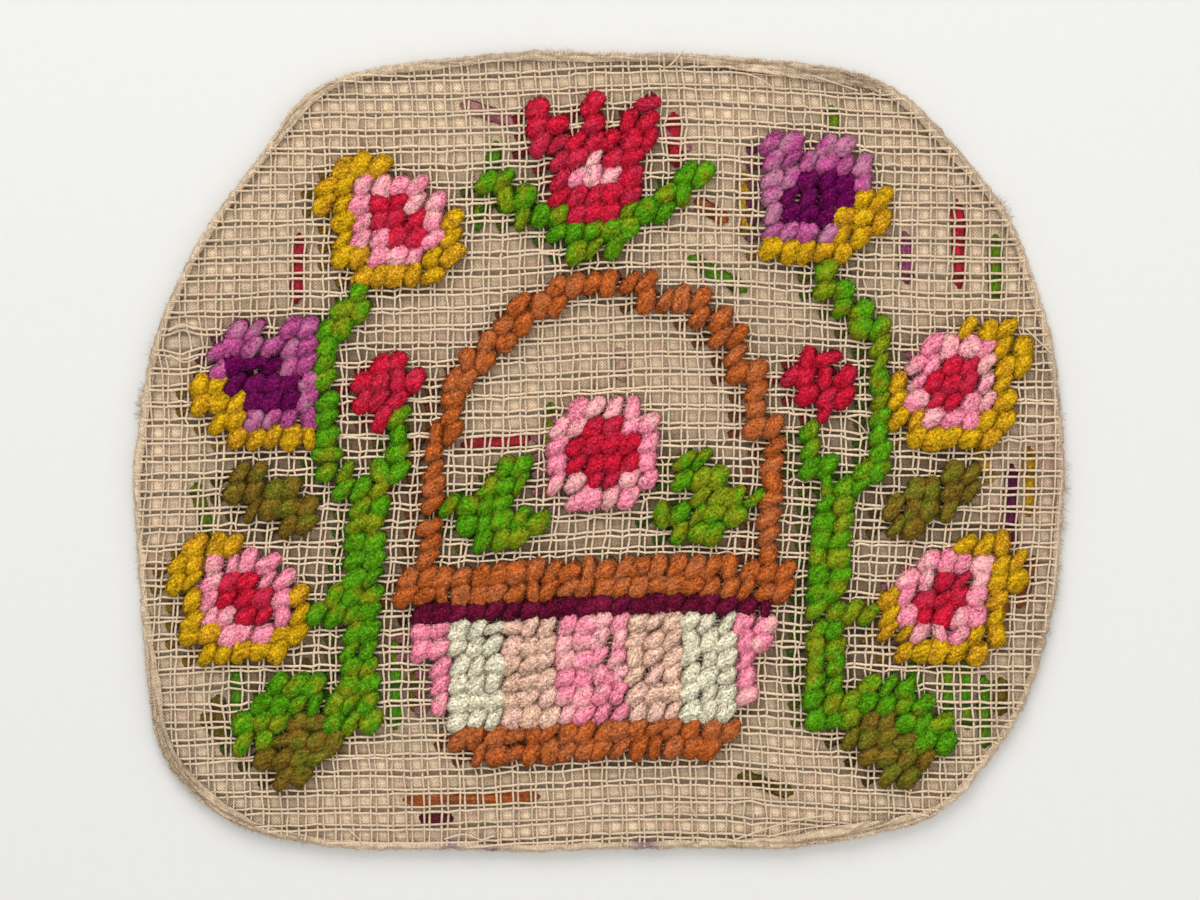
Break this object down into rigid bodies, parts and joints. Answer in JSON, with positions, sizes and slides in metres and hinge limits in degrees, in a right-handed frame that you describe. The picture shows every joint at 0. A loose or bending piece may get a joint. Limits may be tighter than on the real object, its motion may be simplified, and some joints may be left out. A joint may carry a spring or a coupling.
{
  "type": "needlework sampler",
  "caption": "Small needlework sampler: wool tent stitch on double-thread canvas, laid on a plain backing cloth whose rolled edge holds it.",
  "frame": {"origin": "under the middle of the sampler, on the surface that it lies on", "axes": "+X to the right of the design, +Y to its top, +Z out of the worked face"},
  "size_m": [0.166, 0.1426, 0.0047],
  "materials": {
    "backing_cloth": "matte",
    "canvas": "matte",
    "yarn_green": "matte",
    "yarn_olive": "matte",
    "yarn_gold": "matte",
    "yarn_crimson": "matte",
    "yarn_pink": "matte",
    "yarn_blush": "matte",
    "yarn_white": "matte",
    "yarn_rust": "matte",
    "yarn_maroon": "matte",
    "yarn_purple": "matte",
    "yarn_mauve": "matte"
  },
  "bodies": {
    "root": {"backing_cloth": "backing_cloth", "canvas": "canvas", "basket_blush_1": "yarn_blush", "basket_blush_2": "yarn_blush", "basket_maroon": "yarn_maroon", "basket_pink_1": "yarn_pink", "basket_pink_2": "yarn_pink", "basket_pink_3": "yarn_pink", "basket_rust_1": "yarn_rust", "basket_rust_2": "yarn_rust", "basket_white_1": "yarn_white", "basket_white_2": "yarn_white", "handle_rust": "yarn_rust", "left_bud_crimson": "yarn_crimson", "left_clump_green": "yarn_green", "left_clump_olive": "yarn_olive", "left_frond_green": "yarn_green", "left_leaf_olive": "yarn_olive", "left_pansy_gold": "yarn_gold", "left_pansy_mauve": "yarn_mauve", "left_pansy_purple": "yarn_purple", "left_stem_green": "yarn_green", "low_left_blossom_crimson": "yarn_crimson", "low_left_blossom_gold": "yarn_gold", "low_left_blossom_pink": "yarn_pink", "low_right_blossom_crimson": "yarn_crimson", "low_right_blossom_gold": "yarn_gold", "low_right_blossom_pink": "yarn_pink", "right_blossom_crimson": "yarn_crimson", "right_blossom_gold": "yarn_gold", "right_blossom_pink": "yarn_pink", "right_bud_crimson": "yarn_crimson", "right_clump_green": "yarn_green", "right_clump_olive": "yarn_olive", "right_frond_green": "yarn_green", "right_leaf_olive": "yarn_olive", "right_stem_green": "yarn_green", "rose_crimson": "yarn_crimson", "rose_pink": "yarn_pink", "top_left_blossom_crimson": "yarn_crimson", "top_left_blossom_gold": "yarn_gold", "top_left_blossom_pink": "yarn_pink", "top_right_pansy_gold": "yarn_gold", "top_right_pansy_mauve": "yarn_mauve", "top_right_pansy_purple": "yarn_purple", "top_stem_green": "yarn_green", "tulip_crimson": "yarn_crimson", "tulip_pink": "yarn_pink"}
  },
  "joints": []
}
